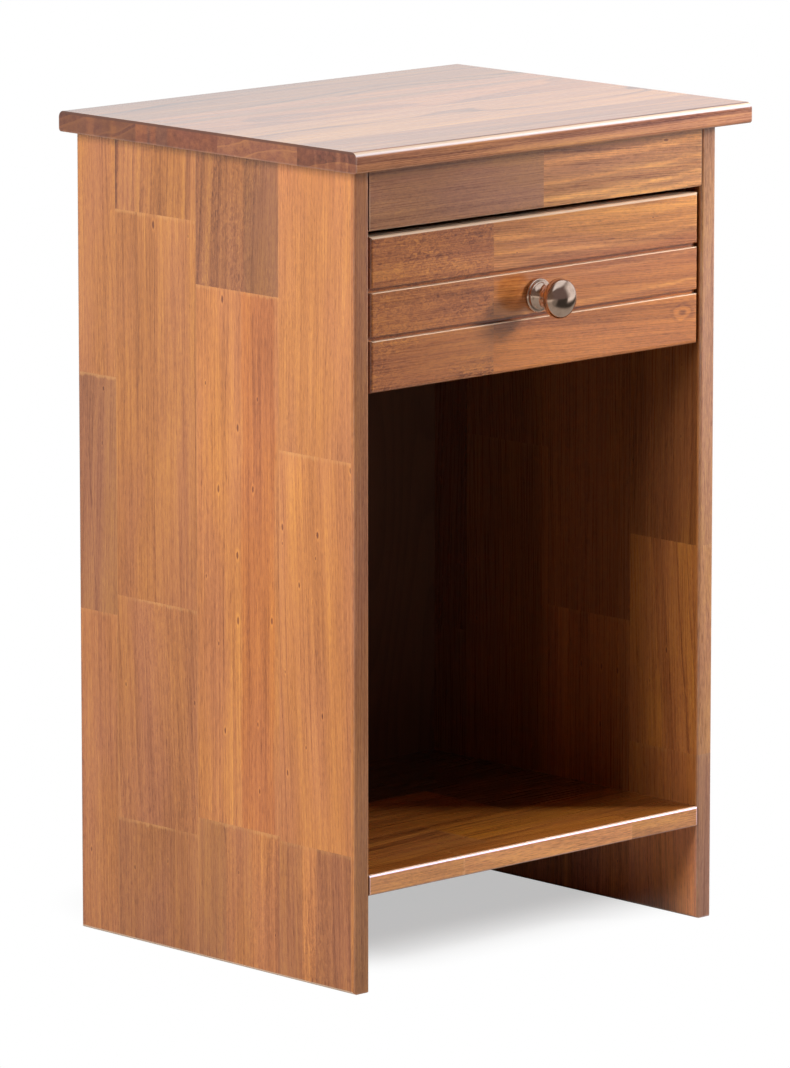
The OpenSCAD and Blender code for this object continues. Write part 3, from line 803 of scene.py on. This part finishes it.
class Moulded(Enum):
    """Plain stuffs that small parts are made of: the effect, its colour and the strength of its relief."""

    BEECH = (beech_grain, (0.66, 0.44, 0.25), 0.3)
    RUBBER = (rubber_skin, (0.022, 0.022, 0.024), 0.4)

    def material(self) -> bpy.types.Material:
        """Builds the stuff's material."""
        effect, colour, strength = self.value
        return finished(self.name.lower(), {"IOR": 1.5},
                        lambda g: effect(g, place=g.place_mm(), colour=colour), strength)


@dataclass(frozen=True)
class Metal:
    """A metal finish.

    Attributes:
        name: the material's name.
        colour: its reflected colour.
        roughness: how dull it is.
        spread: how far handling changes that.
        relief: strength of its fine surface relief.
    """

    name: str
    colour: Colour
    roughness: float
    spread: float
    relief: float

    def material(self) -> bpy.types.Material:
        """Builds the finish."""
        return finished(self.name, {"Metallic": 1.0}, self._draw, self.relief)

    def _draw(self, g: Graph) -> Drawn:
        """Draws the metal's colour, roughness and height."""
        return handling(g, place=g.field("TexCoord", output="Object"), roughness=self.roughness,
                        spread=self.spread, colour=self.colour)


def case_boards() -> tuple[Board, ...]:
    """Gives the boards of the case with their staves, low side first."""
    left = Board("side_panel_left", Axis.Z, Axis.Y, (
        Strip(3, (Stave(585, Tone.AMBER, 0.3),)),
        Strip(73.7, (Stave(99, Tone.CLAY, 1.2, 0.6, 0.05, bands=((35, 16, Tone.STRAW), (57, 17, Tone.CLAY))),
                     Stave(280, Tone.HONEY, 0.7, 0.2, 0.2),
                     Stave(206, Tone.STRAW, 0.7, 0.25, 0.0, 0.92, bands=((63, 11, Tone.STRAW),)))),
        Strip(86, (Stave(102, Tone.CLAY, 1.1, 0.4, 0.15, 1.1, ((-6, 36, Tone.AMBER), (55, 31, Tone.UMBER))),
                   Stave(385, Tone.HONEY, 0.8, 0.2, 0.4, bands=((4, 36, Tone.GINGER),)),
                   Stave(98, Tone.CLAY, 1.1, 1.0, 0.0, 0.84, ((0, 37, Tone.UMBER),)))),
        Strip(85.6, (Stave(89, Tone.CLAY, 0.5, 0.4, 0.1, 0.94), Stave(163, Tone.CLAY, 0.7, 0.4, 0.2, 1.05),
                     Stave(280, Tone.AMBER, 0.9, 0.3, 0.1, 0.92), Stave(53, Tone.AMBER, 1.7, 0.5, 0.0, 0.84))),
        Strip(41.7, (Stave(237, Tone.CLAY, 0.5, 0.3, 0.1, 1.09), Stave(173, Tone.UMBER, 1.2, 0.3, 0.05),
                     Stave(175, Tone.AMBER, 0.6, 0.4, 0.1, 0.92)))), glue=0.8, wear=0.12,
        lip=Lip(0.7, (-0.71, 0.0, -0.71), 0.8, 0.95), edge=(0.90, 0.98, 1.25))
    # The right panel's inner face gets painted shade towards the back and painted light on its foot under the
    # shelf; the low shades of its upper staves are partly painted shade under the drawer.
    right = Board("side_panel_right", Axis.Z, Axis.Y, (
        Strip(2.6, (Stave(122, Tone.CLAY, 0.6, 0.2), Stave(155, Tone.HONEY, 0.7, 0.2, 0.1),
                    Stave(308, Tone.AMBER, 0.5, 0.3))),
        Strip(67.4, (Stave(122, Tone.HONEY, 0.6, 0.2, shade=0.90), Stave(155, Tone.HONEY, 1.1, 0.4, 0.1, 0.93),
                     Stave(308, Tone.AMBER, 0.9, 0.3, shade=0.73))),
        Strip(86, (Stave(212, Tone.AMBER, 0.8, 0.3, 0.2, 0.98), Stave(373, Tone.CLAY, 0.5, 0.5, 0.1, 0.84))),
        Strip(86, (Stave(330, Tone.HONEY, 0.4, 0.2, 0.1, 0.95), Stave(255, Tone.AMBER, 0.5, 0.3, 0.1, 1.05))),
        Strip(48, (Stave(180, Tone.CLAY, 0.5, 0.2, 0.1, 0.92), Stave(405, Tone.RUSSET, 0.5, 0.2, 0.1, 0.95)))),
        glue=0.5, edge=(1.03, 1.29, 2.0),
        inner=Inside((-1.0, 0.0, 0.0), (0.85, 0.82, 0.71), ((-125, -60, 0.70), (15, 40, 0.46)), 76,
                     (1.6, 1.6, 2.2)))
    shelf = Board("bottom_shelf", Axis.X, Axis.Y, (
        Strip(20, (Stave(93, Tone.AMBER, 0.6, 0.3), Stave(168, Tone.AMBER, 0.7, 0.2, shade=1.08),
                   Stave(67, Tone.AMBER, 0.6, 0.3, shade=0.88))),
        Strip(68, (Stave(135, Tone.UMBER, 2.0, 0.3, shade=1.35), Stave(193, Tone.HONEY, 2.0, 0.2))),
        # The low shades of the rear staves are painted shade deep inside the stand.
        Strip(86, (Stave(220, Tone.AMBER, 1.8, 0.2, shade=1.05), Stave(108, Tone.CLAY, 1.2, 0.2, shade=0.5))),
        Strip(116, (Stave(150, Tone.CLAY, 0.6, 0.2, shade=0.2), Stave(178, Tone.AMBER, 0.6, 0.2, shade=0.2)))),
        tint=(0.8, 0.72, 0.4), glue=0.4, lip=Lip(0.72, (0.0, -0.71, 0.71), 0.76, 0.90), edge=(1.95, 2.5, 4.7))
    front_rail = Board("front_rail", Axis.X, Axis.Z, (
        Strip(45, (Stave(169, Tone.MAUVE, 0.6, 0.5),
                   Stave(159, Tone.CLAY, 1.2, 0.3, shade=1.08,
                         bands=((-6, 6, Tone.GOLD), (2, 5, Tone.GOLD), (9, 3, Tone.RUSSET),
                                (14, 4, Tone.STRAW), (26, 7, Tone.STRAW))))),),
        tint=(1.36, 1.57, 1.64), glue=0.1, gloss=0.9, drift=0.035)
    rear_rail = Board("rear_rail", Axis.X, Axis.Z, (
        Strip(45, (Stave(200, Tone.AMBER, 0.8, 0.3), Stave(128, Tone.CLAY, 0.7, 0.2))),))
    top = Board("top_panel", Axis.X, Axis.Y, (
        Strip(60, (Stave(390, Tone.COPPER, 2.4, 0.2, shade=0.85,
                         bands=((8, 4, Tone.GOLD), (16, 6, Tone.GOLD),
                                (28, 5, Tone.HONEY), (40, 4, Tone.HONEY))),)),
        Strip(82, (Stave(390, Tone.AMBER, 1.8, 0.3),)),
        Strip(86, (Stave(390, Tone.COPPER, 1.8, 0.2, bands=((52, 14, Tone.UMBER), (70, 5, Tone.UMBER))),)),
        Strip(82, (Stave(390, Tone.RUSSET, 2.1, 0.2, shade=0.74,
                         bands=((20, 8, Tone.COPPER), (44, 10, Tone.COPPER))),))),
        lip=Lip(0.75, (0.0, -0.71, 0.71), 0.88, 0.99), wear=0.08, edge=(1.42, 1.74, 2.5), crest_mm=2.4)
    return left, right, shelf, front_rail, rear_rail, top


def drawer_boards() -> tuple[Board, ...]:
    """Gives the boards of the drawer with their staves, low side first."""
    front = Board("drawer_front", Axis.X, Axis.Z, (
        Strip(110, (Stave(119, Tone.RUSSET, 1.0, 1.6, shade=1.06),
                    Stave(205, Tone.COPPER, 1.2, 0.3,
                          bands=((-6, 42, Tone.GINGER), (74, 40, Tone.AMBER), (40, 4, Tone.STRAW),
                                 (60, 4, Tone.HONEY), (66, 3, Tone.GINGER), (78, 5, Tone.GOLD),
                                 (86, 3, Tone.STRAW), (94, 10, Tone.GOLD))))),),
        tint=(1.18, 1.19, 1.15), glue=0.1, gloss=0.9, drift=0.03,
        lip=Lip(0.95, (0.0, 0.0, 1.0), 0.15, 0.5), knots=((450.0, -129.0, 146.0),))
    sides = tuple(Board(f"drawer_side_{side}", Axis.Y, Axis.Z, (
        Strip(80, (Stave(260, Tone.HONEY, 0.6, 0.2),)),), gloss=0.2, tint=(1.1, 1.5, 2.2))
        for side in ("left", "right"))
    back = Board("drawer_back", Axis.X, Axis.Z, (
        Strip(70, (Stave(180, Tone.HONEY, 0.6, 0.2), Stave(100, Tone.AMBER, 0.6, 0.2))),), gloss=0.2,
        tint=(1.1, 1.5, 2.2))
    return (front, *sides, back)


# ---- knob


@dataclass(frozen=True)
class Knob:
    """The turned knob: a domed head, a coved neck and a flat foot, as one closed surface of revolution.

    Attributes:
        node: the CAD node that it stands for.
        head_t: thickness of the head.
        rim_share: the rim's radius as a share of half that thickness.
        foot_d: diameter of the foot.
        foot_t: its thickness, which is twice its rim's radius.
        neck_d: diameter of the neck at its narrowest.
        foot_land: flat height between the cove's end and the foot or head.
        turns: points round the axis.
        steps: points along each arc of the profile.
        same: distance below which two points of the profile are one.
    """

    node: str = "knob"
    head_t: float = 17 * MM
    rim_share: float = 0.7
    foot_d: float = 24.5 * MM
    foot_t: float = 3 * MM
    neck_d: float = 11 * MM
    foot_land: float = 2 * MM
    turns: int = 128
    steps: int = 24
    same: float = 1e-6

    def profile(self, reach: float, head_r: float) -> np.ndarray:
        """Works out the outline from the foot to the middle of the head.

        The head is two shallow domes joined by a round rim, each arc tangent to the next. The neck is
        an arc that narrows to neck_d. The foot is a disc with a half-round rim.

        Args:
            reach: how far the knob stands out.
            head_r: radius of the head.

        Returns:
            Points as radius and height, from the axis at the back to the axis at the front.
        """
        quarter = math.pi / 2
        half = self.head_t / 2
        rim = half * self.rim_share
        dome = ((head_r - rim) ** 2 + half**2 - rim**2) / (2 * (half - rim))
        lean = math.asin((head_r - rim) / (dome - rim))
        middle = reach - half
        neck_r, foot_rim = self.neck_d / 2, self.foot_t / 2
        cove = (middle - self.foot_t) / 2 - self.foot_land
        shoulder = self.foot_d / 2 - self.foot_t
        cove_start = math.pi + math.acos((neck_r + cove - shoulder) / cove)

        def arc(x: float, z: float, r: float, start: float, end: float) -> np.ndarray:
            """Points round a centre, from one angle to another, measured from outwards to the front."""
            angle = np.linspace(start, end, self.steps)
            return np.stack((x + r * np.cos(angle), z + r * np.sin(angle)), axis=1)

        points = np.concatenate((
            np.array([[0.0, 0.0], [self.foot_d / 2 - foot_rim, 0.0]]),
            arc(self.foot_d / 2 - foot_rim, foot_rim, foot_rim, -quarter, quarter),
            np.array([[shoulder, self.foot_t]]),
            arc(neck_r + cove, self.foot_t + cove, cove, cove_start, math.pi),
            arc(0.0, middle + (dome - half), dome, math.asin(neck_r / dome) - quarter, lean - quarter),
            arc(head_r - rim, middle, rim, lean - quarter, quarter - lean),
            arc(0.0, middle - (dome - half), dome, quarter - lean, quarter)))
        apart = np.linalg.norm(np.diff(points, axis=0), axis=1) > self.same
        return points[np.concatenate(([True], apart))]

    def build(self) -> None:
        """Makes the knob and lets it stand for the CAD node."""
        low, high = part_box(self.node)
        outline = self.profile(high.y - low.y, (high.x - low.x) / 2)
        origin = Vector(((low.x + high.x) / 2, high.y, (low.z + high.z) / 2))
        obj = revolved("knob_turned", outline, self.turns, origin)
        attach(obj, "drawer")
        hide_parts(self.node)
        # The knob's warm colour is nickel with a painted reflection of a brown room.
        obj.data.materials.append(Metal("knob_nickel", (0.74, 0.56, 0.46), 0.15, 0.08, 0.02).material())
        LOG.info("turned %s with %d faces", obj.name, len(obj.data.polygons))


def revolved(name: str, outline: np.ndarray, turns: int, origin: Vector) -> bpy.types.Object:
    """Turns an outline about an axis that runs forwards, along -Y, from the origin.

    Point (i, j) lies at outline radius r[j] and height h[j]: X is r cos a, Z is r sin a and Y is -h,
    with a going once round over i. The first and last outline points lie on the axis and become poles.

    Args:
        name: the object's name.
        outline: points as radius and height.
        turns: points round the axis.
        origin: where the axis starts.

    Returns:
        The new object, smooth and closed.
    """
    angle = np.linspace(0.0, 2 * np.pi, turns, endpoint=False)
    radius, height = outline[1:-1].T
    rows = len(height)
    grid = np.stack((np.outer(np.cos(angle), radius), np.broadcast_to(-height, (turns, rows)),
                     np.outer(np.sin(angle), radius)), axis=-1).reshape(-1, 3)
    poles = np.array([[0.0, -outline[0, 1], 0.0], [0.0, -outline[-1, 1], 0.0]])
    points = np.concatenate((grid, poles)) + np.array(origin)
    i, j = np.meshgrid(np.arange(turns), np.arange(rows - 1), indexing="ij")
    ahead = (i + 1) % turns
    quads = np.stack((i * rows + j, ahead * rows + j, ahead * rows + j + 1, i * rows + j + 1), axis=-1)
    first = np.arange(turns)
    after = (first + 1) % turns
    back, front = np.full(turns, turns * rows), np.full(turns, turns * rows + 1)
    fans = [np.stack((after * rows, first * rows, back), axis=-1),
            np.stack((first * rows + rows - 1, after * rows + rows - 1, front), axis=-1)]
    mesh = bpy.data.meshes.new(name)
    mesh.from_pydata(points.tolist(), [], quads.reshape(-1, 4).tolist() + np.concatenate(fans).tolist())
    mesh.polygons.foreach_set("use_smooth", np.ones(len(mesh.polygons), dtype=bool))
    mesh.update()
    return placed(name, mesh)


def placed(name: str, data: bpy.types.ID) -> bpy.types.Object:
    """Makes an object of a mesh, lamp or camera and puts it into the scene."""
    obj = bpy.data.objects.new(name, data)
    bpy.context.scene.collection.objects.link(obj)
    return obj


# ---- fittings

METALS = (
    (Metal("zinc_plated_steel", (0.60, 0.61, 0.62), 0.30, 0.25, 0.05),
     ("back_panel_screws", "case_cam_bolts", "drawer_cam_bolts", "drawer_back_screws",
      "drawer_bottom_screws", "knob_screw", "slide_case_screws", "slide_drawer_screws")),
    (Metal("zinc_alloy", (0.43, 0.44, 0.46), 0.45, 0.20, 0.15), ("case_cam_locks", "drawer_cam_locks")),
    (Metal("slide_steel", (0.55, 0.56, 0.58), 0.34, 0.25, 0.06),
     ("slide_case_member_left", "slide_case_member_right", "slide_drawer_member_left",
      "slide_drawer_member_right", "slide_cage_left", "slide_cage_right")),
    (Metal("ball_steel", (0.65, 0.65, 0.66), 0.07, 0.05, 0.01), ("slide_balls_left", "slide_balls_right")),
)
STUFFS = (
    (Moulded.BEECH, ("case_dowels", "drawer_dowels")),
    (Moulded.RUBBER, ("slide_bumpers",)),
)
SHEETS = (
    # The back panel's dark colour is its stain, darkened further as painted shade inside the stand.
    Plywood("back_panel", Axis.Z, Axis.Y, (0.11, 0.045, 0.020)),
    Plywood("drawer_bottom", Axis.X, Axis.Z, (0.50, 0.29, 0.15)),
)


def finish_fittings() -> None:
    """Dresses the screws, cams, dowels, slides and plywood."""
    for finish, nodes in (*METALS, *STUFFS):
        material = finish.material()
        for node in nodes:
            dress(node, material)
        LOG.info("finished %d nodes in %s", len(nodes), material.name)
    for sheet in SHEETS:
        sheet.dress()


# ---- studio


@dataclass(frozen=True)
class Softbox:
    """A rectangular lamp.

    Attributes:
        name: the lamp's name.
        place: its middle.
        aim: the point that it faces.
        size: its width and height.
        power: watts.
    """

    name: str
    place: Colour
    aim: Colour
    size: tuple[float, float]
    power: float

    def build(self) -> None:
        """Hangs the lamp; no gloss shows it, as it is far stronger than a room's light."""
        lamp = bpy.data.lights.new(self.name, "AREA")
        lamp.shape = "RECTANGLE"
        lamp.size, lamp.size_y = self.size
        lamp.energy = self.power
        obj = placed(self.name, lamp)
        obj.location = self.place
        obj.rotation_euler = (Vector(self.aim) - Vector(self.place)).to_track_quat("-Z", "Y").to_euler()
        obj.visible_camera = obj.visible_glossy = False


@dataclass(frozen=True)
class Camera:
    """A long lens that looks at a point from an azimuth and a height angle."""

    target: Colour = (0.0, 0.0172, 0.287)
    azimuth: float = 43.482
    elevation: float = 10.491
    distance: float = 5.826
    lens: float = 271.3

    def build(self) -> None:
        """Makes the scene's camera."""
        turn, rise = math.radians(self.azimuth), math.radians(self.elevation)
        ahead = Vector((math.sin(turn) * math.cos(rise), math.cos(turn) * math.cos(rise), -math.sin(rise)))
        data = bpy.data.cameras.new("camera")
        data.lens = self.lens
        data.sensor_width = 36.0
        data.clip_start = 0.1
        data.clip_end = 100.0
        obj = placed("camera", data)
        obj.location = Vector(self.target) - ahead * self.distance
        obj.rotation_euler = ahead.to_track_quat("-Z", "Y").to_euler()
        bpy.context.scene.camera = obj


FRONT = (0.40, -0.92, 0.0)
FRONT_RIGHT = (0.71, -0.71, 0.0)
BACK_RIGHT = (0.71, 0.71, 0.0)
BACKDROP = (0.69, 0.69, 0.2)
LAMPS = (
    Softbox("left_softbox", (-2.14, -0.17, 1.22), (0.0, 0.0, 0.32), (0.95, 0.9), 52.5),
    Softbox("right_softbox", (1.0, -0.79, 0.86), (0.1, -0.1, 0.42), (0.22, 0.22), 14.5),
    Softbox("high_softbox", (0.88, -0.30, 1.30), (0.1, -0.1, 0.45), (0.40, 0.40), 11.0),
    Softbox("rear_softbox", (0.0, 1.10, 2.25), (0.0, 0.0, 0.45), (1.0, 1.0), 16.0),
)


@dataclass(frozen=True)
class Studio:
    """White surroundings; the room that glosses show is darker, so that the coat reads as satin.

    Attributes:
        floor_size: side of the floor.
        shadow_middle: middle of the floor's shaded patch under the case.
        shadow_half: half of that patch's size.
        shadow_fade: how far past the patch the floor turns to plain white.
        glow_share: how much of the floor under the case is plain white.
        gloss_share: how bright the floor near the stand is in glosses.
        far_gloss: how bright it is in glosses well out to the front.
        left_gloss: how bright it is in glosses well out to the left.
        ceiling: colour of what glosses show overhead.
        dusk: colour of what they show to the front.
        warm_wall: colour of what they show to the left.
        warm_floor: colour of the floor in glosses.
    """

    floor_size: float = 12.0
    shadow_middle: Colour = (0.05, 0.08, 0.0)
    shadow_half: Colour = (0.11, 0.08, 0.0)
    shadow_fade: float = 0.12
    glow_share: float = 0.5
    gloss_share: float = 0.38
    far_gloss: float = 0.05
    left_gloss: float = 0.75
    ceiling: Colour = (0.92, 0.96, 1.0)
    dusk: Colour = (0.12, 0.085, 0.08)
    warm_wall: Colour = (0.13, 0.085, 0.06)
    warm_floor: Colour = (1.0, 0.92, 0.82)

    def build(self) -> None:
        """Makes the camera, the lamps, the floor and the world."""
        Camera().build()
        for lamp in LAMPS:
            lamp.build()
        self._floor()
        self._world()
        bpy.context.scene.view_settings.view_transform = "Standard"

    def _floor(self) -> None:
        """A white floor that keeps the shadow under the stand and is dark to the light that it returns."""
        half = self.floor_size / 2
        mesh = bpy.data.meshes.new("floor")
        corners = [(-half, -half, 0), (half, -half, 0), (half, half, 0), (-half, half, 0)]
        mesh.from_pydata(corners, [], [(0, 1, 2, 3)])
        obj = placed("floor", mesh)
        material = bpy.data.materials.new("floor")
        g = emptied(material)
        seen, glossy = ray_kinds(g)
        place = g.vector("SUBTRACT", g.field("TexCoord", output="Object"), self.shadow_middle)
        beyond = g.vector("SUBTRACT", g.vector("ABSOLUTE", place), self.shadow_half)
        beyond = g.vector("LENGTH", g.vector("MAXIMUM", beyond, BLACK))
        clear = g.band(beyond, 0.0, self.shadow_fade, self.glow_share, 1.0)
        ahead = g.vector("DOT_PRODUCT", place, FRONT)
        near = g.band(ahead, 0.75, 1.0, self.gloss_share, self.far_gloss) * g.band(clear, 0.55, 1.0)
        far_right = g.band(g.vector("DOT_PRODUCT", place, BACK_RIGHT), -0.50, -0.12) * g.band(ahead, 1.2, 2.6)
        across = g.split(place)[0]
        far_left = g.band(across, -2.5, -0.6, self.left_gloss, 0.22)
        far_left = far_left * g.band(across, -0.30, -0.05, 1.0, 0.0)
        lit = g.most(near, g.most(far_right, far_left))
        shine = g.blend(lit, BLACK, g.blend(far_right, self.warm_floor, WHITE))
        glow, shine = (g.field("Emission", {"Color": c, "Strength": 1.0}) for c in (WHITE, shine))
        pale, grey = (g.field("BsdfDiffuse", {"Color": (c, c, c)}) for c in (0.8, 0.5))
        shown = g.field("MixShader", {0: clear, 1: pale, 2: glow})
        felt = g.field("MixShader", {0: glossy, 1: grey, 2: shine})
        g.add("OutputMaterial", {"Surface": g.field("MixShader", {0: seen, 1: felt, 2: shown})})
        mesh.materials.append(material)

    def _world(self) -> None:
        """White to the camera, a room with a bright backdrop in glosses, and no light of its own."""
        world = bpy.data.worlds.new("studio")
        g = emptied(world)
        direction = g.field("TexCoord", output="Generated")
        seen, glossy = ray_kinds(g)
        across, _, height = g.split(direction)
        behind = g.band(g.vector("DOT_PRODUCT", direction, BACKDROP), -0.15, 0.25, 0.04, 0.87)
        behind = behind * g.band(height, 0.35, 0.60, 1.0, 0.12)
        facing = g.band(g.vector("DOT_PRODUCT", direction, FRONT_RIGHT), -0.1, 0.25)
        overhead = g.band(height, 0.53, 0.62) * facing
        wall = g.blend(g.band(across, -0.2, -0.7), self.dusk, self.warm_wall)
        room = g.blend(behind, g.blend(overhead, wall, self.ceiling), WHITE)
        shown = {"Color": g.blend(glossy, WHITE, room), "Strength": g.most(seen, glossy)}
        g.add("OutputWorld", {"Surface": g.field("Background", shown)})
        bpy.context.scene.world = world


def ray_kinds(g: Graph) -> tuple[Number, Number]:
    """Gives whether a ray shows something to the camera, and whether it is a gloss."""
    path = g.add("LightPath").outputs
    return g.most(path["Is Camera Ray"], path["Is Transmission Ray"]), g.wrap(path["Is Glossy Ray"])


def main() -> None:
    """Builds everything in order and logs what each part makes."""
    logging.basicConfig(level=logging.INFO, format="%(name)s: %(message)s")
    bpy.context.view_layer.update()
    Studio().build()
    for board in (*case_boards(), *drawer_boards()):
        board.dress()
    Knob().build()
    finish_fittings()


if __name__ == "__main__":
    main()
